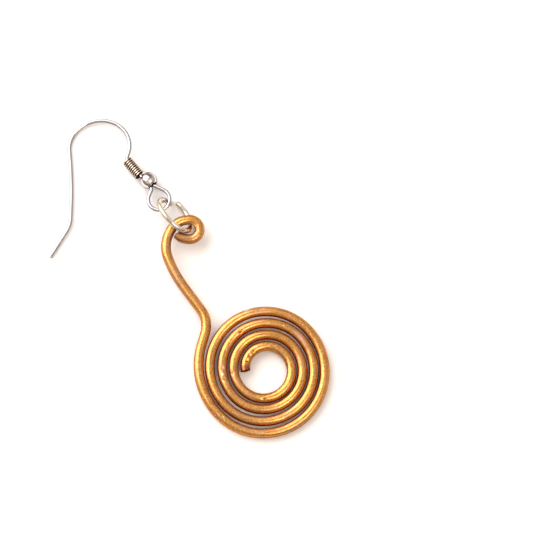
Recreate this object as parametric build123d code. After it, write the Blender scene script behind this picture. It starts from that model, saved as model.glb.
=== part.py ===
from build123d import *
from math import asin, atan2, degrees, sqrt
import os

# A drop earring lying on its side: a flat spiral of copper wire with an eye, hung from a silver
# ear wire by an open jump ring. Millimetres and degrees. +Y runs from the spiral to the hook,
# +Z is up, and the earring lies on Z = 0.

# Spiral drop, one piece of round copper wire
drop_wire = 1.63
spiral_inner_bend = 3.9
spiral_gap = 0.31
spiral_turns = 4
stem_foot = 2.0
stem_foot_bend = 4.6
stem_length = 4.65
stem_bow = 21.1
stem_shoulder_bend = 5.5
stem_crest_bend = 3.56
eye_hole = 1.7
eye_lift = 0.68

# Jump ring, a slightly flattened circle of silver wire, open and sprung sideways
ring_wire = 0.9
ring_inner_long = 5.94
ring_inner_short = 4.74
ring_end_bend = 2.5
ring_gap = 0.5
ring_gap_turn = 30
ring_spring = 3.6
ring_slope = 53
ring_heading = 4.9
ring_beside_eye = 0.45
ring_past_eye = 0.05

# Ear wire, one piece of fine silver wire: hook, straight and loop
ear_wire = 0.6
tail_length = 5.1
leg_length = 11.75
hook_front_bend = 4.35
hook_crest_bend = 5.45
hook_back_bend = 4.55
straight_length = 4.83
entry_bend = 0.9
tail_bend = 4.5
leg_bow = 78
loop_inner = 3.0
neck_bend = 0.6
loop_below_bead = 2.57
loop_beside_bead = 0.78
loop_past_ring = 0.42
loop_beside_ring = 0.48
ear_wire_heading = 7.2
ear_wire_slope = 4.95
ear_wire_slope_heading = -41

# Ball bead, and coil of finer wire round the straight above it
bead_diameter = 2.84
bead_hole = 1.72
tucked_gap = 0.06
thread_aside = 0.18
coil_wire = 0.36
coil_inner = 0.98
coil_turns = 9
coil_turn_gap = 0.02
coil_aside = 0.1
coil_above_bead = 0.46

origin = Vector(0, 0, 0)


def ahead(heading):
    """The level direction with this heading, anticlockwise from +X."""
    return Vector(1, 0, 0).rotate(Axis.Z, heading)


def trace(start, heading, rows):
    """Straights and tangent arcs in one plane, one after the other. A row has the length of a
    straight, or the radius of a bend and the angle that it turns to the left."""
    point, edges = Vector(start), []
    for row in rows:
        if "straight" in row:
            edges.append(Line(point, point + ahead(heading) * row["straight"]))
        else:
            edges.append(JernArc(point, ahead(heading), row["bend"], row["turn"]))
            heading += row["turn"]
        point = edges[-1] @ 1
    return edges


def heading_after(heading, rows):
    """The heading at the end of the rows."""
    return heading + sum(row.get("turn", 0) for row in rows)


def wire_along(edges, diameter):
    """A round wire whose centreline is the edges."""
    path = Wire(edges)
    return sweep(Plane(path @ 0, z_dir=path % 0) * Circle(diameter / 2), path=path)


# Spiral. Each quarter turn is one arc. Bent by hand, it is tighter at the top and bottom than at
# the sides, and not the same in every turn. The last quarter is short: there the stem leaves.
turns = [
    {"top": 0.97, "right": 1.04, "bottom": 0.975, "left": 1.035},
    {"top": 0.965, "right": 1.025, "bottom": 0.965, "left": 1.03},
    {"top": 0.96, "right": 1.035, "bottom": 0.97, "left": 1.035},
    {"top": 0.96, "right": 1.045, "bottom": 0.945, "left": 1.09},
]
spiral_pitch = drop_wire + spiral_gap
spiral_start = (-0.741 * spiral_inner_bend, 0.377 * spiral_inner_bend)
spiral_heading, top_heading = 69, 13
start_bend = 1.025 * (spiral_inner_bend - spiral_pitch / 4)
spiral = [{"bend": start_bend, "turn": top_heading - spiral_heading}]
for turn in range(spiral_turns):
    for quarter, share in enumerate(turns[turn % len(turns)].values()):
        bend = share * (spiral_inner_bend + (turn + quarter / 4) * spiral_pitch)
        spiral.append({"bend": bend, "turn": -90})
spiral[-1]["turn"] = -61.6

# The stem springs away from the last turn and curls over into the eye.
eye_bend = (eye_hole + drop_wire) / 2
stem = [
    {"straight": stem_foot},
    {"bend": stem_foot_bend, "turn": 52.9},
    {"straight": stem_length},
    {"bend": stem_bow, "turn": -15.5},
    {"bend": stem_shoulder_bend, "turn": -56},
    {"bend": stem_crest_bend, "turn": -55.6},
    {"bend": eye_bend, "turn": -179.6},
    {"bend": 2.1 * eye_bend, "turn": -34},
]
drop_edges = trace(spiral_start, spiral_heading, spiral)
drop_edges += trace(drop_edges[-1] @ 1, heading_after(spiral_heading, spiral), stem)

# The drop leans on the low side of the ring, so its spiral rests on the far edge only.
rim = -Wire(drop_edges).bounding_box().min.Y
eye_flat = drop_edges[-2].arc_center
eye_height = ring_wire + drop_wire / 2 + eye_lift
drop_slope = degrees(asin((eye_height - drop_wire / 2) / (eye_flat.Y + rim)))
drop_place = Pos(0, -rim, drop_wire / 2) * Rot(X=drop_slope) * Pos(0, rim, 0)
spiral_drop = drop_place * wire_along(drop_edges, drop_wire)
eye_centre = (drop_place * Pos(eye_flat)).position

# Jump ring: one half on the eye's side and one on the loop's, from the back of the ring to its
# two ends. Each half is turned a little about the tangent at the back, so the ends part sideways.
ring_long = (ring_inner_long + ring_wire) / 2
ring_short = (ring_inner_short + ring_wire) / 2
side_bend = ((ring_long - ring_end_bend) ** 2 + ring_short**2 - ring_end_bend**2) / (
    2 * (ring_short - ring_end_bend)
)
side_turn = degrees(atan2(ring_long - ring_end_bend, side_bend - ring_short))
end_turn = 180 - 2 * side_turn
gap_turn = degrees(ring_gap / 2 / side_bend)
back = Vector(0, ring_short - side_bend) + ahead(90 + ring_gap_turn) * side_bend


def half_ring(way, past):
    """One half in the ring's own plane. The way is 1 to the left, and past is how far the back
    lies that way from the middle of the ring's high side."""
    rows = [
        {"bend": side_bend, "turn": way * (side_turn - past)},
        {"bend": ring_end_bend, "turn": way * end_turn},
        {"bend": side_bend, "turn": way * (side_turn + past - gap_turn)},
    ]
    edges = trace(back, 90 + ring_gap_turn + 90 * way, rows)
    return [edge.rotate(Axis(back, ahead(ring_gap_turn)), -way * ring_spring) for edge in edges]


to_eye, to_loop = half_ring(1, ring_gap_turn), half_ring(-1, -ring_gap_turn)
ring_along = ahead(ring_heading + 90)
ring_normal = Vector(0, 0, 1).rotate(Axis(origin, ring_along), ring_slope)
ring_centre = eye_centre - ahead(ring_heading) * ring_beside_eye
ring_centre += ring_along * (ring_long + ring_past_eye)
ring_place = Plane(ring_centre, x_dir=ring_along, z_dir=ring_normal).location
ring_flat = wire_along([edge.reversed() for edge in reversed(to_loop)] + to_eye, ring_wire)
jump_ring = ring_place * ring_flat
jump_ring = Pos(Z=-jump_ring.bounding_box().min.Z) * jump_ring

# Ear wire, traced about the centre of the bead: up through the coil and round the hook, and down
# from the bead round the loop and back into the bead, where the end is tucked beside it.
threaded_at = -(ear_wire + tucked_gap) / 2 - thread_aside
tucked_at = threaded_at + ear_wire + tucked_gap
bow_turn = degrees(leg_length / leg_bow)
hook = [
    {"straight": straight_length},
    {"bend": entry_bend, "turn": -62.8},
    {"bend": hook_front_bend, "turn": 83.1},
    {"bend": hook_crest_bend, "turn": 78.0},
    {"bend": hook_back_bend, "turn": 43.6 + bow_turn / 2},
    {"bend": leg_bow, "turn": -bow_turn},
    {"bend": tail_bend, "turn": -33.2 + bow_turn / 2},
    {"straight": tail_length},
]
loop_bend = (loop_inner + ear_wire) / 2
mouth = sqrt(bead_diameter**2 - bead_hole**2) / 2


def neck(wire_at, loop_at):
    """The turn as a wire leaves the bead on the left, and the straight that it then follows to
    the loop. Both places are measured to the right of the bead's centre."""
    across = Vector(loop_at - wire_at + neck_bend, -loop_below_bead)
    apart = loop_bend + neck_bend
    heading = degrees(atan2(across.Y, across.X) - asin(apart / across.length))
    return heading + 90, sqrt(across.length**2 - apart**2)


left_turn, left_straight = neck(threaded_at, -loop_beside_bead)
right_turn, right_straight = neck(-tucked_at, loop_beside_bead)
loop = [
    {"straight": mouth},
    {"bend": neck_bend, "turn": left_turn},
    {"straight": left_straight},
    {"bend": loop_bend, "turn": 180 - left_turn - right_turn},
    {"straight": right_straight},
    {"bend": neck_bend, "turn": right_turn},
    {"straight": mouth},
]
up, down = trace((threaded_at, 0), 90, hook), trace((threaded_at, 0), -90, loop)
ear_flat = wire_along([edge.reversed() for edge in reversed(up)] + down, ear_wire)

# Bead and coil, threaded on the straight of the ear wire
bead_flat = Sphere(bead_diameter / 2) - Rot(X=90) * Cylinder(bead_hole / 2, bead_diameter)
coil_pitch = coil_wire + coil_turn_gap
coil_bend = (coil_inner + coil_wire) / 2
coil_path = Pos(threaded_at - coil_aside, mouth + coil_above_bead) * Rot(X=-90) * Helix(
    coil_pitch, coil_turns * coil_pitch, coil_bend
)
coil_start = Plane(coil_path @ 0, z_dir=coil_path % 0)
coil_flat = sweep(coil_start * Circle(coil_wire / 2), coil_path, is_frenet=True)

# The ear wire hangs on the ring by its loop, and slopes down to rest on its tail and back bend.
ring_end = ring_centre + ring_along * ring_long
loop_centre = ring_end + Vector(-loop_beside_ring, loop_past_ring)
bead_from_loop = Vector(loop_beside_bead, loop_below_bead + mouth)
bead_centre = loop_centre + bead_from_loop.rotate(Axis.Z, ear_wire_heading)
slope_axis = Axis(origin, ahead(ear_wire_slope_heading + 90))


def sloped(shape):
    """A piece of the ear wire with its own plane turned to where it lies."""
    turned = shape.rotate(Axis.Z, ear_wire_heading).rotate(slope_axis, -ear_wire_slope)
    return Pos(bead_centre.X, bead_centre.Y) * turned


lift = Pos(Z=-sloped(ear_flat).bounding_box().min.Z)
pieces = {
    "spiral_drop": spiral_drop,
    "jump_ring": jump_ring,
    "ear_wire": lift * sloped(ear_flat),
    "ball_bead": lift * sloped(bead_flat),
    "wire_coil": lift * sloped(coil_flat),
}

# The middle of the whole, on the floor, is the origin.
whole = Compound(list(pieces.values())).bounding_box()
centred = Pos(-whole.center().X, -whole.center().Y, -whole.min.Z)
os.makedirs("parts", exist_ok=True)
for name, piece in pieces.items():
    export_step(centred * piece, f"parts/{name}.step")
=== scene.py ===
from math import asin, atan2, ceil, cos, degrees, pi, radians, sin, sqrt

import bpy
from mathutils import Matrix, Vector


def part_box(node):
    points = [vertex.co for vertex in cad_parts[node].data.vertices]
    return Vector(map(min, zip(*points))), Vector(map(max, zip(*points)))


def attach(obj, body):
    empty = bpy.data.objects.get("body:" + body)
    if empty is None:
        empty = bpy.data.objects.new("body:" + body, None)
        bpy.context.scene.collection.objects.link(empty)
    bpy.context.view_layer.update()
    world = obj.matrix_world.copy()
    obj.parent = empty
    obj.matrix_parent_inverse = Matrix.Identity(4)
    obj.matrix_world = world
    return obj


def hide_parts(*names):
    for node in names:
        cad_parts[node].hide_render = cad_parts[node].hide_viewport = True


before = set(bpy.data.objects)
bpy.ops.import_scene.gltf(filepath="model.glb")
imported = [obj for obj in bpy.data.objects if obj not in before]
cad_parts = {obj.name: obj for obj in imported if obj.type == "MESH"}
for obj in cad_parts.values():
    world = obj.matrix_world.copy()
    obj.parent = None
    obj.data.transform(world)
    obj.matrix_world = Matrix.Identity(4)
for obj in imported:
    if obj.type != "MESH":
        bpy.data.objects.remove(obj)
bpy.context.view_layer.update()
bpy.ops.object.select_all(action="DESELECT")
mm = 0.001


# Spiral drop. One piece of soft copper wire, drawn through a die and wound by hand with round
# pliers: a flat spiral of four turns, a stem that springs away from it, and an eye for the ring.
# It leans on the low side of the ring, so the spiral rests on its far edge only.
def start_wire(name, radius, sides, point, way):
    """A ring of points round the start of a wire, selected in edit mode."""
    turn = way.to_track_quat("Z", "Y").to_euler()
    bpy.ops.mesh.primitive_circle_add(vertices=sides, radius=radius, location=point, rotation=turn)
    wire = bpy.context.object
    wire.name = name
    bpy.ops.object.transform_apply(location=True, rotation=True, scale=True)
    bpy.ops.object.mode_set(mode="EDIT")
    return wire


def carry_on(point, way, normal, rows, step, along=0.0):
    """Extrudes the selected ring of points along straights and round bends, in the plane with
    this normal, and lists the middle, the way and the length at each ring of points."""
    track = []
    for row in rows:
        if "straight" in row:
            steps = max(1, ceil(row["straight"] / step))
            move = way * row["straight"] / steps
            for _ in range(steps):
                bpy.ops.mesh.extrude_region_move(TRANSFORM_OT_translate={"value": move})
                point = point + move
                along += move.length
                track.append((point, way, along))
        else:
            turn = radians(row["turn"])
            length = row["bend"] * abs(turn)
            steps = max(2, ceil(length / step))
            side = 1 if turn > 0 else -1
            centre = point + normal.cross(way) * row["bend"] * side
            bpy.ops.mesh.spin(steps=steps, angle=-turn, center=centre, axis=normal)
            for count in range(1, steps + 1):
                part = Matrix.Rotation(turn * count / steps, 3, normal)
                middle = centre + part @ (point - centre)
                track.append((middle, (part @ way).normalized(), along + length * count / steps))
            point, way = track[-1][0], track[-1][1]
            along += length
    return track


def mark_straight(wire, track, sides, normals):
    """Keeps, for each point, where it was on the wire while that was straight: along is z."""
    drawn = wire.data.attributes.new("drawn", "FLOAT_VECTOR", "POINT")
    for ring, ((middle, way, along), normal) in enumerate(zip(track, normals)):
        left = normal.cross(way)
        for index in range(ring * sides, (ring + 1) * sides):
            out = wire.data.vertices[index].co - middle
            drawn.data[index].vector = (out.dot(left), out.dot(normal), along)


def pick(piece, test):
    """Selects the points that pass the test, in edit mode."""
    bpy.ops.object.mode_set(mode="EDIT")
    bpy.ops.mesh.select_mode(type="VERT")
    bpy.ops.mesh.select_all(action="DESELECT")
    bpy.ops.object.mode_set(mode="OBJECT")
    for vertex in piece.data.vertices:
        vertex.select = test(vertex)
    bpy.ops.object.mode_set(mode="EDIT")


def round_end(wire, first, sides, middle, way, rounding):
    """Closes one end of a wire with a rounded edge."""
    pick(wire, lambda vertex: first <= vertex.index < first + sides)
    for share, scale in ((0.5, 0.93), (0.35, 0.86), (0.15, 0.8)):
        bpy.ops.mesh.extrude_region_move(TRANSFORM_OT_translate={"value": way * rounding * share})
        bpy.ops.transform.resize(value=(scale, scale, scale), center_override=middle)
    bpy.ops.mesh.edge_face_add()
    bpy.ops.object.mode_set(mode="OBJECT")


def settle(piece, node):
    """Moves a piece so that its box has the middle of the solid's box, and finishes its mesh."""
    bpy.ops.object.mode_set(mode="OBJECT")
    low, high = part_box(node)
    corners = [piece.matrix_world @ Vector(corner) for corner in piece.bound_box]
    middle = [(min(c[i] for c in corners) + max(c[i] for c in corners)) / 2 for i in range(3)]
    bpy.ops.object.mode_set(mode="EDIT")
    bpy.ops.mesh.select_all(action="SELECT")
    bpy.ops.mesh.normals_make_consistent(inside=False)
    bpy.ops.transform.translate(value=(low + high) / 2 - Vector(middle))
    bpy.ops.object.mode_set(mode="OBJECT")
    sharpest_smooth = radians(38)
    bpy.ops.object.shade_smooth_by_angle(angle=sharpest_smooth)
    bpy.ops.object.select_all(action="DESELECT")
    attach(piece, "root")
    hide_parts(node)


copper_wire = 1.63 * mm
copper_sides = 32
copper_step = 0.2 * mm
inner_bend = 3.9 * mm
pitch = 1.94 * mm
turn_shares = (
    {"top": 0.97, "right": 1.04, "bottom": 0.975, "left": 1.035},
    {"top": 0.965, "right": 1.025, "bottom": 0.965, "left": 1.03},
    {"top": 0.96, "right": 1.035, "bottom": 0.97, "left": 1.035},
    {"top": 0.96, "right": 1.045, "bottom": 0.945, "left": 1.09},
)
spiral_heading, top_heading = 69, 13
spiral = [{"bend": 1.025 * (inner_bend - pitch / 4), "turn": top_heading - spiral_heading}]
for turn, shares in enumerate(turn_shares):
    for quarter, share in enumerate(shares.values()):
        spiral.append({"bend": share * (inner_bend + (turn + quarter / 4) * pitch), "turn": -90})
spiral[-1]["turn"] = -61.6
eye_bend = 1.665 * mm
nipped_length = 0.6 * mm
stem = [
    {"straight": 2.0 * mm},
    {"bend": 4.6 * mm, "turn": 52.9},
    {"straight": 4.65 * mm},
    {"bend": 21.1 * mm, "turn": -15.5},
    {"bend": 5.5 * mm, "turn": -56},
    {"bend": 3.56 * mm, "turn": -55.6},
    {"bend": eye_bend, "turn": -179.6},
    {"bend": 2.1 * eye_bend, "turn": -34},
    {"straight": nipped_length},
]
drop_slope = radians(2.42)
spiral_centre = Vector((4.756, -20.403, 1.263)) * mm
drop_turn = Matrix.Rotation(drop_slope, 3, "X")
drop_normal = drop_turn @ Vector((0, 0, 1))
drop_start = spiral_centre + drop_turn @ (Vector((-0.741, 0.377, 0)) * inner_bend)
drop_way = Vector((cos(radians(spiral_heading)), sin(radians(spiral_heading)), 0))
drop_way = drop_turn @ drop_way
drop = start_wire("copper_spiral", copper_wire / 2, copper_sides, drop_start, drop_way)
drop_track = [(drop_start, drop_way, 0.0)]
drop_track += carry_on(drop_start, drop_way, drop_normal, spiral + stem, copper_step)
bpy.ops.object.mode_set(mode="OBJECT")
mark_straight(drop, drop_track, copper_sides, [drop_normal] * len(drop_track))

# Nicks, pits and plier marks, each pressed into the wire at its length and side.
dents = (
    {"along": 1.5, "side": -0.24, "reach": 0.5, "deep": 0.11},
    {"along": 2.6, "side": -0.2, "reach": 0.45, "deep": 0.09},
    {"along": 3.7, "side": -0.18, "reach": 0.5, "deep": 0.1},
    {"along": 20.2, "side": 0.18, "reach": 0.45, "deep": 0.1},
    {"along": 27.2, "side": 0.32, "reach": 0.4, "deep": 0.1},
    {"along": 27.6, "side": -0.29, "reach": 0.4, "deep": 0.09},
    {"along": 65.5, "side": -0.04, "reach": 0.42, "deep": 0.1},
    {"along": 67.4, "side": -0.17, "reach": 0.7, "deep": 0.14},
    {"along": 74.8, "side": -0.21, "reach": 0.45, "deep": 0.13},
)
for dent in dents:
    drawn = drop.data.attributes["drawn"].data
    side = dent["side"] * mm
    place = Vector((side, sqrt((copper_wire / 2) ** 2 - side**2), dent["along"] * mm))
    nearest = min(range(len(drawn)), key=lambda index: (drawn[index].vector - place).length)
    pick(drop, lambda vertex: vertex.index == nearest)
    bpy.ops.transform.translate(
        value=-drop_normal * dent["deep"] * mm,
        use_proportional_edit=True,
        use_proportional_connected=True,
        proportional_edit_falloff="SMOOTH",
        proportional_size=dent["reach"] * mm,
    )
    bpy.ops.object.mode_set(mode="OBJECT")

# The inner end is sawn nearly square. The other was nipped off by two cuts that meet in a blunt
# edge. Only its last rings of points are cut, and what the first cut made.
round_end(drop, 0, copper_sides, drop_start, -drop_way, rounding=0.12 * mm)
tip, tip_way, _ = drop_track[-1]
tip_left = drop_normal.cross(tip_way)
edge = tip - tip_way * 0.16 * mm + tip_left * 0.5 * mm
rings_to_cut = 9
tube_points = len(drop_track) * copper_sides
first_to_cut = tube_points - rings_to_cut * copper_sides
inner_end_last = tube_points + 3 * copper_sides
for forward, sideways in ((0.96, -0.27), (0.17, 0.985)):
    pick(
        drop,
        lambda vertex: first_to_cut <= vertex.index < tube_points or vertex.index > inner_end_last,
    )
    bpy.ops.mesh.bisect(
        plane_co=edge,
        plane_no=tip_way * forward + tip_left * sideways,
        use_fill=True,
        clear_outer=True,
    )
    bpy.ops.object.mode_set(mode="OBJECT")
settle(drop, "spiral_drop")


def group_of(name, inputs, outputs):
    """An empty node group with these named inputs and outputs, and its two end nodes."""
    group = bpy.data.node_groups.new(name, "ShaderNodeTree")
    for label, kind, value in inputs:
        socket = group.interface.new_socket(label, in_out="INPUT", socket_type=kind)
        if value is not None:
            socket.default_value = value
    for label, kind in outputs:
        group.interface.new_socket(label, in_out="OUTPUT", socket_type=kind)
    return group, group.nodes.new("NodeGroupInput"), group.nodes.new("NodeGroupOutput")


def put(tree, kind, inputs=None, **settings):
    """Adds a node. An input is a value, or an output to link to it."""
    made = tree.nodes.new(kind)
    for key, value in settings.items():
        setattr(made, key, value)
    for key, value in (inputs or {}).items():
        if isinstance(value, bpy.types.NodeSocket):
            tree.links.new(value, made.inputs[key])
        else:
            made.inputs[key].default_value = value
    return made


def ramp(tree, value, stops):
    """A colour ramp with these places and greys or colours."""
    made = put(tree, "ShaderNodeValToRGB", {"Fac": value})
    points = made.color_ramp.elements
    while len(points) < len(stops):
        points.new(0.5)
    for point, (place, colour) in zip(points, stops):
        point.position = place
        point.color = (*colour, 1) if isinstance(colour, tuple) else (colour, colour, colour, 1)
    return made.outputs["Color"]


def blend(tree, amount, first, second, kind="MIX"):
    """A colour mixed from two."""
    values = {0: amount, 6: first, 7: second}
    values = {key: (*v, 1) if isinstance(v, tuple) else v for key, v in values.items()}
    made = put(tree, "ShaderNodeMix", data_type="RGBA", blend_type=kind)
    for key, value in values.items():
        if isinstance(value, bpy.types.NodeSocket):
            tree.links.new(value, made.inputs[key])
        else:
            made.inputs[key].default_value = value
    return made.outputs[2]


def reckon(tree, kind, first, second=0.0, third=0.0):
    """A number worked out from one, two or three."""
    return put(tree, "ShaderNodeMath", {0: first, 1: second, 2: third}, operation=kind).outputs[0]


# Drawing lines: fine streaks along a drawn wire, with a pitted grain between them.
drawing_lines, given, result = group_of(
    "drawing_lines",
    (
        ("Straight", "NodeSocketVector", None),
        ("Fineness", "NodeSocketFloat", 9000.0),
        ("Stretch", "NodeSocketFloat", 0.08),
    ),
    (("Streaks", "NodeSocketFloat"), ("Grain", "NodeSocketFloat")),
)
stretch = put(
    drawing_lines,
    "ShaderNodeCombineXYZ",
    {"X": 1.0, "Y": 1.0, "Z": given.outputs["Stretch"]},
)
along_wire = put(
    drawing_lines,
    "ShaderNodeVectorMath",
    {0: given.outputs["Straight"], 1: stretch.outputs[0]},
    operation="MULTIPLY",
)
streaks = put(
    drawing_lines,
    "ShaderNodeTexNoise",
    {
        "Vector": along_wire.outputs[0],
        "Scale": given.outputs["Fineness"],
        "Detail": 3.0,
        "Roughness": 0.65,
    },
)
grain = put(
    drawing_lines,
    "ShaderNodeTexNoise",
    {
        "Vector": given.outputs["Straight"],
        "Scale": given.outputs["Fineness"],
        "Detail": 4.0,
        "Roughness": 0.7,
    },
)
drawing_lines.links.new(streaks.outputs["Fac"], result.inputs["Streaks"])
drawing_lines.links.new(grain.outputs["Fac"], result.inputs["Grain"])

# Soft patches of tarnished, duller metal, drawn out a little along the wire; on the bead they
# are painted dark reflection.
tarnish_or_reflection, given, result = group_of(
    "tarnish_or_reflection",
    (
        ("Straight", "NodeSocketVector", None),
        ("Patch", "NodeSocketFloat", 400.0),
        ("Cover", "NodeSocketFloat", 0.5),
    ),
    (("Dull", "NodeSocketFloat"),),
)
drawn_out = put(
    tarnish_or_reflection,
    "ShaderNodeVectorMath",
    {0: given.outputs["Straight"], 1: (1.0, 1.0, 0.3)},
    operation="MULTIPLY",
)
patches = put(
    tarnish_or_reflection,
    "ShaderNodeTexNoise",
    {
        "Vector": drawn_out.outputs[0],
        "Scale": given.outputs["Patch"],
        "Detail": 5.0,
        "Roughness": 0.62,
        "Distortion": 0.4,
    },
)
shifted = reckon(tarnish_or_reflection, "ADD", patches.outputs["Fac"], given.outputs["Cover"])
raised = reckon(tarnish_or_reflection, "SUBTRACT", shifted, 0.95)
dull = put(
    tarnish_or_reflection,
    "ShaderNodeMath",
    {0: raised, 1: 6.0},
    operation="MULTIPLY",
    use_clamp=True,
)
tarnish_or_reflection.links.new(dull.outputs[0], result.inputs["Dull"])

# Flank: how far round the side of a wire a place is, from 0 on top to 1 at the side.
flank, given, result = group_of(
    "flank",
    (("Straight", "NodeSocketVector", None), ("Radius", "NodeSocketFloat", 0.0008)),
    (("Side", "NodeSocketFloat"), ("Left", "NodeSocketFloat")),
)
parts = put(flank, "ShaderNodeSeparateXYZ", {0: given.outputs["Straight"]})
share = reckon(flank, "DIVIDE", parts.outputs["X"], given.outputs["Radius"])
flank.links.new(reckon(flank, "ABSOLUTE", share), result.inputs["Side"])
flank.links.new(share, result.inputs["Left"])

# Mark: a ragged spot at one place on the wire.
mark, given, result = group_of(
    "mark",
    (
        ("Straight", "NodeSocketVector", None),
        ("Place", "NodeSocketVector", None),
        ("Reach", "NodeSocketVector", None),
    ),
    (("Within", "NodeSocketFloat"),),
)
ragged = put(
    mark,
    "ShaderNodeTexNoise",
    {"Vector": given.outputs["Straight"], "Scale": 5000.0, "Detail": 4.0, "Roughness": 0.7},
)
apart = put(
    mark,
    "ShaderNodeVectorMath",
    {0: given.outputs["Straight"], 1: given.outputs["Place"]},
    operation="SUBTRACT",
)
apart = put(
    mark,
    "ShaderNodeVectorMath",
    {0: apart.outputs[0], 1: given.outputs["Reach"]},
    operation="DIVIDE",
)
apart = put(mark, "ShaderNodeVectorMath", {0: apart.outputs[0]}, operation="LENGTH")
uneven = reckon(mark, "MULTIPLY_ADD", ragged.outputs["Fac"], 1.6, -0.8)
near = reckon(mark, "ADD", apart.outputs["Value"], uneven)
within = put(
    mark,
    "ShaderNodeMapRange",
    {"Value": near, "From Min": 0.6, "From Max": 1.1, "To Min": 1.0, "To Max": 0.0},
)
mark.links.new(within.outputs["Result"], result.inputs["Within"])


def metal(name, fineness, stretch, patch, cover, bright, dull, edge):
    """A metal with drawing lines and tarnished patches, which on the bead are painted dark
    reflection, darker at its edges, still without its gloss.
    """
    finish = bpy.data.materials.new(name)
    finish.use_nodes = True
    tree = finish.node_tree
    shader = tree.nodes["Principled BSDF"]
    shader.inputs["Metallic"].default_value = 1.0
    shader.inputs["Specular Tint"].default_value = (*edge, 1)
    straight = put(tree, "ShaderNodeAttribute", attribute_name="drawn").outputs["Vector"]
    lines = put(
        tree,
        "ShaderNodeGroup",
        {"Straight": straight, "Fineness": fineness, "Stretch": stretch},
        node_tree=drawing_lines,
    )
    dull_or_reflection = put(
        tree,
        "ShaderNodeGroup",
        {"Straight": straight, "Patch": patch, "Cover": cover},
        node_tree=tarnish_or_reflection,
    )
    colour = blend(tree, dull_or_reflection.outputs["Dull"], bright, dull)
    return finish, shader, straight, lines, dull_or_reflection.outputs["Dull"], colour


def flank_of(tree, straight, radius):
    """Where a place is on the flanks of a wire with this radius."""
    inputs = {"Straight": straight, "Radius": radius}
    return put(tree, "ShaderNodeGroup", inputs, node_tree=flank)


def paint_side_shade(tree, flanks, colour, stops):
    """The colour with painted shade, darker towards both sides of the wire."""
    darker = ramp(tree, flanks.outputs["Side"], stops)
    return blend(tree, 1.0, colour, darker, "MULTIPLY")


def emboss(tree, shader, height, strength, depth):
    """Raises the surface by a height, with a bump."""
    inputs = {"Height": height, "Strength": strength, "Distance": depth}
    bump = put(tree, "ShaderNodeBump", inputs)
    tree.links.new(bump.outputs["Normal"], shader.inputs["Normal"])


copper, shader, straight, lines, dull_or_reflection, colour = metal(
    "drawn_copper",
    fineness=4200.0,
    stretch=0.1,
    patch=420.0,
    cover=0.46,
    bright=(0.75, 0.34, 0.078),
    dull=(0.58, 0.295, 0.13),
    edge=(0.42, 0.19, 0.1),
)
tree = copper.node_tree
reddened = put(
    tree,
    "ShaderNodeGroup",
    {"Straight": straight, "Patch": 150.0, "Cover": 0.36},
    node_tree=tarnish_or_reflection,
)
some_red = reckon(tree, "MULTIPLY", reddened.outputs["Dull"], 0.45)
colour = blend(tree, some_red, colour, (0.56, 0.19, 0.055))
streaked = ramp(tree, lines.outputs["Streaks"], ((0.36, 0.6), (0.58, 1.0)))
colour = blend(tree, 0.8, colour, streaked, "MULTIPLY")
specks = ramp(tree, lines.outputs["Grain"], ((0.53, 0.0), (0.66, 0.7)))
colour = blend(tree, specks, colour, (0.95, 0.68, 0.4))
pits = ramp(tree, lines.outputs["Grain"], ((0.33, 0.45), (0.41, 0.0)))
colour = blend(tree, pits, colour, (0.3, 0.11, 0.04))

# Painted shade darkens each groove between the turns: the outer flank until the last turn starts,
# and the inner flank once the first turn is wound. More painted shade darkens both sides of the
# wire towards its outline, and the eye is a little browner than the rest.
flanks = flank_of(tree, straight, copper_wire / 2)
along = put(tree, "ShaderNodeSeparateXYZ", {0: straight}).outputs["Z"]
painted_groove_shade = 0.0
for way, first, last in ((1, -3, 130), (-1, 31, 193)):
    facing = reckon(tree, "MULTIPLY", flanks.outputs["Left"], way)
    facing = ramp(tree, facing, ((0.65, 0.0), (0.97, 0.5)))
    for place, fade in ((first, 2), (last, -2)):
        entered = put(
            tree,
            "ShaderNodeMapRange",
            {"Value": along, "From Min": place * mm, "From Max": (place + fade) * mm},
        )
        facing = reckon(tree, "MULTIPLY", facing, entered.outputs["Result"])
    painted_groove_shade = reckon(tree, "MAXIMUM", painted_groove_shade, facing)
colour = blend(tree, painted_groove_shade, colour, (0.55, 0.17, 0.055))
colour = paint_side_shade(tree, flanks, colour, ((0.76, 1.0), (0.98, (0.7, 0.56, 0.5))))
eye_starts, eye_wound = 214 * mm, 219 * mm
handled = put(
    tree, "ShaderNodeMapRange", {"Value": along, "From Min": eye_starts, "From Max": eye_wound}
)
colour = blend(tree, handled.outputs["Result"], colour, (0.83, 0.88, 1.3), "MULTIPLY")
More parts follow.
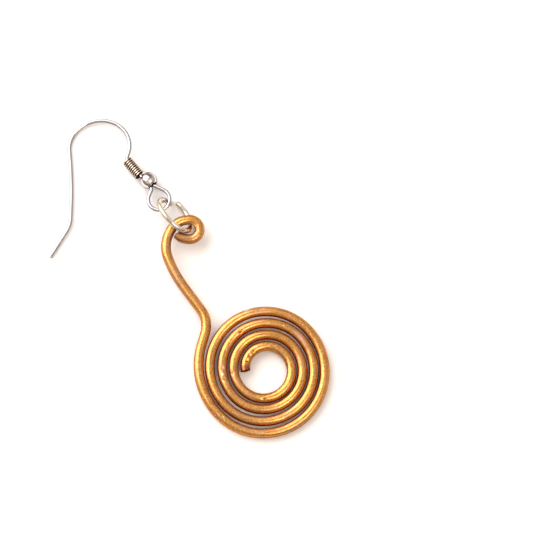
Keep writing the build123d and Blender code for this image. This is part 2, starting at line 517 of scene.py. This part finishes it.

# Painted shade at the inner end, grime in the dents, and pale scuffs and red stains, each a
# spot at its length and side.
painted_end_shade, plier_grime, nick_grime = (0.33, 0.12, 0.045), (0.18, 0.06, 0.03), (0.24, 0.075, 0.03)
copper_marks = (
    {"along": 0.0, "side": 0.0, "wide": 1.2, "long": 1.1, "colour": painted_end_shade},
    {"along": 1.5, "side": -0.24, "wide": 0.4, "long": 0.12, "colour": plier_grime},
    {"along": 2.6, "side": -0.2, "wide": 0.35, "long": 0.1, "colour": plier_grime},
    {"along": 3.7, "side": -0.18, "wide": 0.3, "long": 0.1, "colour": plier_grime},
    {"along": 20.2, "side": 0.18, "wide": 0.14, "long": 0.2, "colour": nick_grime},
    {"along": 27.2, "side": 0.32, "wide": 0.15, "long": 0.16, "colour": nick_grime},
    {"along": 27.6, "side": -0.29, "wide": 0.12, "long": 0.14, "colour": nick_grime},
    {"along": 65.5, "side": -0.04, "wide": 0.15, "long": 0.18, "colour": nick_grime},
    {"along": 66.5, "side": 0.09, "wide": 0.22, "long": 0.25, "colour": (0.95, 0.75, 0.57)},
    {"along": 69.9, "side": 0.79, "wide": 0.3, "long": 0.3, "colour": (0.075, 0.03, 0.018)},
    {"along": 74.8, "side": -0.21, "wide": 0.2, "long": 0.22, "colour": (0.15, 0.045, 0.022)},
    {"along": 82.6, "side": -0.08, "wide": 0.12, "long": 0.15, "colour": (0.95, 0.9, 0.63)},
    {"along": 85.6, "side": -0.1, "wide": 0.45, "long": 1.5, "colour": (0.69, 0.375, 0.225)},
    {"along": 131.6, "side": 0.63, "wide": 0.25, "long": 0.5, "colour": (0.9, 0.705, 0.495)},
    {"along": 174.0, "side": -0.11, "wide": 0.16, "long": 0.3, "colour": (0.93, 0.705, 0.495)},
    {"along": 176.8, "side": -0.27, "wide": 0.12, "long": 0.6, "colour": (0.6, 0.15, 0.045)},
)
for row in copper_marks:
    side = row["side"] * mm
    place = (side, sqrt((copper_wire / 2) ** 2 - side**2), row["along"] * mm)
    reach = (row["wide"] * mm, row["wide"] * mm, row["long"] * mm)
    spot = put(
        tree,
        "ShaderNodeGroup",
        {"Straight": straight, "Place": place, "Reach": reach},
        node_tree=mark,
    )
    colour = blend(tree, spot.outputs["Within"], colour, row["colour"])
tree.links.new(colour, shader.inputs["Base Color"])
rough = reckon(tree, "MULTIPLY_ADD", dull_or_reflection, 0.12, 0.22)
rough = reckon(tree, "MULTIPLY_ADD", lines.outputs["Grain"], 0.12, rough)
tree.links.new(rough, shader.inputs["Roughness"])
height = reckon(tree, "MULTIPLY_ADD", lines.outputs["Streaks"], 1.2, lines.outputs["Grain"])
uneven = put(
    tree,
    "ShaderNodeGroup",
    {"Straight": straight, "Fineness": 1100.0, "Stretch": 0.4},
    node_tree=drawing_lines,
)
height = reckon(tree, "MULTIPLY_ADD", uneven.outputs["Streaks"], 3.0, height)
emboss(tree, shader, height, strength=0.15, depth=0.05 * mm)
drop.data.materials.append(copper)


# Jump ring. A turn of silver-coloured wire cut from a coil, a little flattened, with its two cut
# ends sprung sideways past each other. It links the eye of the drop to the loop of the ear wire.
ring_wire = 0.9 * mm
ring_sides = 32
ring_step = 0.1 * mm
ring_long, ring_short = 3.42 * mm, 2.82 * mm
ring_end_bend = 2.5 * mm
ring_gap = 0.5 * mm
ring_past = 30
ring_spring = radians(3.6)
ring_heading, ring_slope = radians(94.9), radians(53)
side_bend = ((ring_long - ring_end_bend) ** 2 + ring_short**2 - ring_end_bend**2) / (
    2 * (ring_short - ring_end_bend)
)
side_turn = degrees(atan2(ring_long - ring_end_bend, side_bend - ring_short))
gap_turn = degrees(ring_gap / 2 / side_bend)
ring_along = Vector((cos(ring_heading), sin(ring_heading), 0))
ring_normal = Matrix.Rotation(ring_slope, 3, ring_along) @ Vector((0, 0, 1))
ring_up = ring_normal.cross(ring_along)
ring_centre = Vector((6.1, 9.9, 2.4)) * mm
back_out = Matrix.Rotation(radians(ring_past), 3, ring_normal) @ ring_up
ring_back = ring_centre + ring_up * (ring_short - side_bend) + back_out * side_bend
back_way = ring_normal.cross(back_out)
jump = start_wire("silver_jump_ring", ring_wire / 2, ring_sides, ring_back, back_way)
jump_track, jump_normals = [(ring_back, back_way, 0.0)], [ring_normal]
cut_ends = []
for way in (1, -1):
    past = way * ring_past
    rows = (
        {"bend": side_bend, "turn": way * (side_turn - past)},
        {"bend": ring_end_bend, "turn": way * (180 - 2 * side_turn)},
        {"bend": side_bend, "turn": way * (side_turn + past - gap_turn)},
    )
    if way < 0:
        pick(jump, lambda vertex: vertex.index < ring_sides)
    sprung = Matrix.Rotation(way * ring_spring, 3, back_way) @ ring_normal
    half = carry_on(ring_back, way * back_way, sprung, rows, ring_step)
    jump_track += [(middle, way * ahead, way * along) for middle, ahead, along in half]
    jump_normals += [sprung] * len(half)
    cut_ends.append(((len(jump_track) - 1) * ring_sides, half[-1][0], half[-1][1]))
bpy.ops.object.mode_set(mode="OBJECT")
mark_straight(jump, jump_track, ring_sides, jump_normals)
for first, middle, ahead in cut_ends:
    round_end(jump, first, ring_sides, middle, ahead, rounding=0.03 * mm)
settle(jump, "jump_ring")

ring_silver, shader, straight, lines, dull_or_reflection, colour = metal(
    "yellowed_silver",
    fineness=9000.0,
    stretch=0.05,
    patch=700.0,
    cover=0.4,
    bright=(0.86, 0.82, 0.74),
    dull=(0.66, 0.57, 0.44),
    edge=(0.5, 0.44, 0.36),
)
tree = ring_silver.node_tree
golden = ramp(tree, lines.outputs["Streaks"], ((0.34, (0.5, 0.34, 0.16)), (0.44, 1.0)))
colour = blend(tree, 0.75, colour, golden, "MULTIPLY")
flanks = flank_of(tree, straight, ring_wire / 2)
# Painted shade darkens both sides of the ring's wire towards its outline.
colour = paint_side_shade(tree, flanks, colour, ((0.72, 1.0), (0.97, (0.75, 0.71, 0.68))))
tree.links.new(colour, shader.inputs["Base Color"])
rough = reckon(tree, "MULTIPLY_ADD", dull_or_reflection, 0.1, 0.2)
tree.links.new(rough, shader.inputs["Roughness"])
emboss(tree, shader, lines.outputs["Streaks"], strength=0.15, depth=0.02 * mm)
jump.data.materials.append(ring_silver)


# Ear wire. One piece of fine hard silver wire, bent in a jig: the hook that goes through the ear,
# a straight that threads the coil and the bead, and a loop whose end is tucked into the bead.
ear_wire = 0.6 * mm
ear_sides = 24
ear_step = 0.12 * mm
bead_diameter, bead_hole = 2.84 * mm, 1.72 * mm
tucked_gap, thread_aside = 0.06 * mm, 0.18 * mm
threaded_at = -(ear_wire + tucked_gap) / 2 - thread_aside
tucked_at = threaded_at + ear_wire + tucked_gap
mouth = sqrt(bead_diameter**2 - bead_hole**2) / 2
loop_bend, neck_bend = 1.8 * mm, 0.6 * mm
loop_below_bead, loop_beside_bead = 2.57 * mm, 0.78 * mm
leg_length, leg_bow = 11.75 * mm, 78 * mm
bow_turn = degrees(leg_length / leg_bow)


def neck(wire_at, loop_at):
    """The turn as a wire leaves the bead, and the straight that then meets the loop."""
    across = Vector((loop_at - wire_at + neck_bend, -loop_below_bead, 0))
    apart = loop_bend + neck_bend
    heading = degrees(atan2(across.y, across.x) - asin(apart / across.length))
    return heading + 90, sqrt(across.length**2 - apart**2)


left_turn, left_straight = neck(threaded_at, -loop_beside_bead)
right_turn, right_straight = neck(-tucked_at, loop_beside_bead)
hook_rows = (
    {"straight": 4.83 * mm},
    {"bend": 0.9 * mm, "turn": -62.8},
    {"bend": 4.35 * mm, "turn": 83.1},
    {"bend": 5.45 * mm, "turn": 78.0},
    {"bend": 4.55 * mm, "turn": 43.6 + bow_turn / 2},
    {"bend": leg_bow, "turn": -bow_turn},
    {"bend": 4.5 * mm, "turn": -33.2 + bow_turn / 2},
    {"straight": 5.1 * mm},
)
loop_rows = (
    {"straight": mouth},
    {"bend": neck_bend, "turn": left_turn},
    {"straight": left_straight},
    {"bend": loop_bend, "turn": 180 - left_turn - right_turn},
    {"straight": right_straight},
    {"bend": neck_bend, "turn": right_turn},
    {"straight": mouth},
)
ear_heading, ear_slope = radians(7.2), radians(4.95)
slope_axis = Vector((cos(radians(49)), sin(radians(49)), 0))
ear_turn = Matrix.Rotation(-ear_slope, 3, slope_axis) @ Matrix.Rotation(ear_heading, 3, "Z")
ear_right, ear_up, ear_normal = ear_turn.transposed()
bead_low, bead_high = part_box("ball_bead")
bead_centre = (bead_low + bead_high) / 2
ear_start = bead_centre + ear_right * threaded_at
hook = start_wire("silver_ear_wire", ear_wire / 2, ear_sides, ear_start, ear_up)
hook_track = [(ear_start, ear_up, 0.0)]
hook_track += carry_on(ear_start, ear_up, ear_normal, hook_rows, ear_step)
tail_end = len(hook_track) - 1
pick(hook, lambda vertex: vertex.index < ear_sides)
loop_track = carry_on(ear_start, -ear_up, ear_normal, loop_rows, ear_step)
hook_track += [(middle, -way, -along) for middle, way, along in loop_track]
bpy.ops.object.mode_set(mode="OBJECT")
mark_straight(hook, hook_track, ear_sides, [ear_normal] * len(hook_track))
middle, way, _ = hook_track[tail_end]
round_end(hook, tail_end * ear_sides, ear_sides, middle, way, rounding=0.06 * mm)
tucked_end = len(hook_track) - 1
middle, way, _ = loop_track[-1]
round_end(hook, tucked_end * ear_sides, ear_sides, middle, way, rounding=0.04 * mm)
settle(hook, "ear_wire")

silver, shader, straight, lines, dull_or_reflection, colour = metal(
    "bright_silver",
    fineness=12000.0,
    stretch=0.05,
    patch=600.0,
    cover=0.4,
    bright=(0.62, 0.615, 0.64),
    dull=(0.5, 0.48, 0.5),
    edge=(0.34, 0.32, 0.36),
)
tree = silver.node_tree
flanks = flank_of(tree, straight, ear_wire / 2)
# Painted shade darkens both sides of the ear wire towards its outline.
colour = paint_side_shade(tree, flanks, colour, ((0.55, 1.0), (0.85, (0.5, 0.47, 0.5))))
tree.links.new(colour, shader.inputs["Base Color"])
rough = reckon(tree, "MULTIPLY_ADD", dull_or_reflection, 0.08, 0.08)
tree.links.new(rough, shader.inputs["Roughness"])
emboss(tree, shader, lines.outputs["Streaks"], strength=0.06, depth=0.02 * mm)
hook.data.materials.append(silver)


# Ball bead. A hollow drilled ball of silver, rolled to a thin lip round each mouth and threaded
# on the straight of the ear wire, where it hides the tucked end.
bead_radius = bead_diameter / 2
lip_narrowing, lip_thinning = 0.93, 0.985
bead_spin = ear_turn.to_4x4() @ Matrix.Rotation(-pi / 2, 4, "X")
bpy.ops.mesh.primitive_uv_sphere_add(segments=64, ring_count=48, radius=bead_radius)
bead = bpy.context.object
bead.name = "silver_bead"
pick(bead, lambda vertex: vertex.co.xy.length < bead_hole / 2)
bpy.ops.mesh.delete(type="VERT")
bpy.ops.mesh.select_non_manifold()
bpy.ops.mesh.extrude_region_move()
bpy.ops.transform.resize(value=(lip_narrowing, lip_narrowing, lip_thinning))
bpy.ops.mesh.extrude_region_move()
bpy.ops.transform.resize(value=(lip_thinning, lip_thinning, lip_narrowing))
bpy.ops.mesh.bridge_edge_loops()
bpy.ops.object.mode_set(mode="OBJECT")
drawn = bead.data.attributes.new("drawn", "FLOAT_VECTOR", "POINT")
for vertex in bead.data.vertices:
    drawn.data[vertex.index].vector = vertex.co
bead.matrix_world = Matrix.Translation(bead_centre) @ bead_spin
bpy.ops.object.transform_apply(location=True, rotation=True, scale=True)
settle(bead, "ball_bead")

# The bead's dark patches, in its dull colour, are painted reflection of dark things round it.
bead_silver, shader, straight, lines, dull_or_reflection, colour = metal(
    "polished_bead",
    fineness=2600.0,
    stretch=1.0,
    patch=900.0,
    cover=0.5,
    bright=(0.8, 0.77, 0.77),
    dull=(0.16, 0.1, 0.075),
    edge=(0.4, 0.37, 0.38),
)
tree = bead_silver.node_tree
tree.links.new(colour, shader.inputs["Base Color"])
rough = reckon(tree, "MULTIPLY_ADD", dull_or_reflection, 0.1, 0.05)
tree.links.new(rough, shader.inputs["Roughness"])
emboss(tree, shader, lines.outputs["Streaks"], strength=0.2, depth=0.04 * mm)
bead.data.materials.append(bead_silver)


# Wire coil. A short close coil of finer wire, slipped over the straight above the bead.
coil_wire = 0.36 * mm
coil_sides = 20
coil_bend = 0.67 * mm
coil_pitch = 0.38 * mm
coil_turns = 9
coil_steps = 40
bpy.ops.mesh.primitive_circle_add(
    vertices=coil_sides, radius=coil_wire / 2, location=(coil_bend, 0, 0), rotation=(pi / 2, 0, 0)
)
coil = bpy.context.object
coil.name = "wire_coil_piece"
bpy.ops.object.transform_apply(location=True, rotation=True, scale=True)
screw = coil.modifiers.new("wound", "SCREW")
screw.axis = "Z"
screw.iterations = 1
screw.angle = 2 * pi * coil_turns
screw.screw_offset = coil_pitch * coil_turns
screw.steps = screw.render_steps = coil_steps * coil_turns
screw.use_merge_vertices = False
bpy.ops.object.modifier_apply(modifier="wound")

# Where each point was on the coil's wire while that was straight, as on the other wires.
drawn = coil.data.attributes.new("drawn", "FLOAT_VECTOR", "POINT")
for vertex in coil.data.vertices:
    place = vertex.co
    turned = atan2(place.y, place.x)
    whole = round(place.z / coil_pitch - turned / (2 * pi))
    along = (turned + 2 * pi * whole) * coil_bend
    level = (turned / (2 * pi) + whole) * coil_pitch
    drawn.data[vertex.index].vector = (place.z - level, place.xy.length - coil_bend, along)

# Both ends are cut square, and closed.
pick(coil, lambda vertex: False)
bpy.ops.mesh.select_non_manifold()
bpy.ops.mesh.edge_face_add()
bpy.ops.object.mode_set(mode="OBJECT")
coil.matrix_world = Matrix.Translation(bead_centre) @ bead_spin
bpy.ops.object.transform_apply(location=True, rotation=True, scale=True)
settle(coil, "wire_coil")

# The coil's warm tone is painted reflection of the copper.
coil_silver, shader, straight, lines, dull_or_reflection, colour = metal(
    "coil_silver",
    fineness=9000.0,
    stretch=0.1,
    patch=900.0,
    cover=0.46,
    bright=(0.85, 0.66, 0.53),
    dull=(0.62, 0.45, 0.32),
    edge=(0.25, 0.18, 0.1),
)
tree = coil_silver.node_tree
flanks = flank_of(tree, straight, coil_wire / 2)
# Painted shade makes both sides of the wire nearly black, in the groove between each turn.
colour = paint_side_shade(tree, flanks, colour, ((0.3, 1.0), (0.5, (0.02, 0.012, 0.008))))
tree.links.new(colour, shader.inputs["Base Color"])
rough = reckon(tree, "MULTIPLY_ADD", dull_or_reflection, 0.1, 0.16)
tree.links.new(rough, shader.inputs["Roughness"])
coil.data.materials.append(coil_silver)


# Surface, camera and light. A matt white table top, one very large soft lamp at the upper left, a
# smaller warm one near the camera, to its lower right, and a light from all round that is darker
# low down and on the side below the photo.
table_width = 1.2
bpy.ops.mesh.primitive_plane_add(size=table_width, location=(0, 0, 0))
table = bpy.context.object
table.name = "white_surface"
white = bpy.data.materials.new("matt_white")
white.use_nodes = True
shader = white.node_tree.nodes["Principled BSDF"]
shader.inputs["Base Color"].default_value = (0.9, 0.89, 0.9, 1)
shader.inputs["Roughness"].default_value = 0.9
table.data.materials.append(white)

aim = Vector((14.340, -5.528, 1.265)) * mm
photo_heading, photo_height = radians(58), radians(75)
to_top = Vector((cos(photo_heading), sin(photo_heading), 0))
to_right = Vector((sin(photo_heading), -cos(photo_heading), 0))
forward = to_top * cos(photo_height) - Vector((0, 0, sin(photo_height)))
photo_pixels, pixels_in_mm = 533, 6
frame_width = photo_pixels / pixels_in_mm * mm
camera_data = bpy.data.cameras.new("camera")
camera_data.lens = 1000
camera_data.sensor_width = 36
camera_data.clip_end = 10
camera = bpy.data.objects.new("camera", camera_data)
bpy.context.scene.collection.objects.link(camera)
reach = frame_width * camera_data.lens / camera_data.sensor_width
axes = Matrix((to_right, to_right.cross(forward), -forward)).transposed()
camera.matrix_world = Matrix.Translation(aim - forward * reach) @ axes.to_4x4()
bpy.context.scene.camera = camera


def soft_lamp(name, right, top, height, away, width, power, colour):
    """A square lamp that faces the earring, placed to the right, top and height of the photo."""
    direction = (to_right * right + to_top * top + Vector((0, 0, height))).normalized()
    lamp_data = bpy.data.lights.new(name, "AREA")
    lamp_data.size = width
    lamp_data.energy = power
    lamp_data.color = colour
    lamp = bpy.data.objects.new(name, lamp_data)
    axes = direction.to_track_quat("Z", "Y").to_matrix()
    lamp.matrix_world = Matrix.Translation(aim + direction * away) @ axes.to_4x4()
    bpy.context.scene.collection.objects.link(lamp)


soft_lamp(
    "upper_left",
    right=-0.64,
    top=0.45,
    height=0.63,
    away=0.7,
    width=0.85,
    power=7.2,
    colour=(1, 0.98, 0.96),
)
soft_lamp(
    "below_camera",
    right=0.35,
    top=-0.35,
    height=0.87,
    away=0.8,
    width=0.34,
    power=1.8,
    colour=(1, 0.86, 0.66),
)
world = bpy.data.worlds.new("even_light")
world.use_nodes = True
sky = world.node_tree
toward = put(sky, "ShaderNodeTexCoord").outputs["Generated"]
level = put(sky, "ShaderNodeSeparateXYZ", {0: toward}).outputs["Z"]
topward = put(sky, "ShaderNodeVectorMath", {0: toward, 1: to_top}, operation="DOT_PRODUCT")
far_side = reckon(sky, "MULTIPLY_ADD", topward.outputs["Value"], 0.9, 0.5)
near_glow = ramp(
    sky, level, ((0.0, (0.1, 0.06, 0.04)), (0.2, (0.3, 0.22, 0.16)), (0.6, (0.95, 0.87, 0.78)))
)
far_glow = ramp(
    sky, level, ((0.0, (0.42, 0.36, 0.35)), (0.2, (0.62, 0.56, 0.55)), (0.6, (0.98, 0.93, 0.92)))
)
glow = blend(sky, ramp(sky, far_side, ((0.0, 0.0), (1.0, 1.0))), near_glow, far_glow)
sky.links.new(glow, sky.nodes["Background"].inputs["Color"])
sky.nodes["Background"].inputs["Strength"].default_value = 0.8
bpy.context.scene.world = world
bpy.context.scene.view_settings.view_transform = "Standard"

bpy.context.view_layer.update()
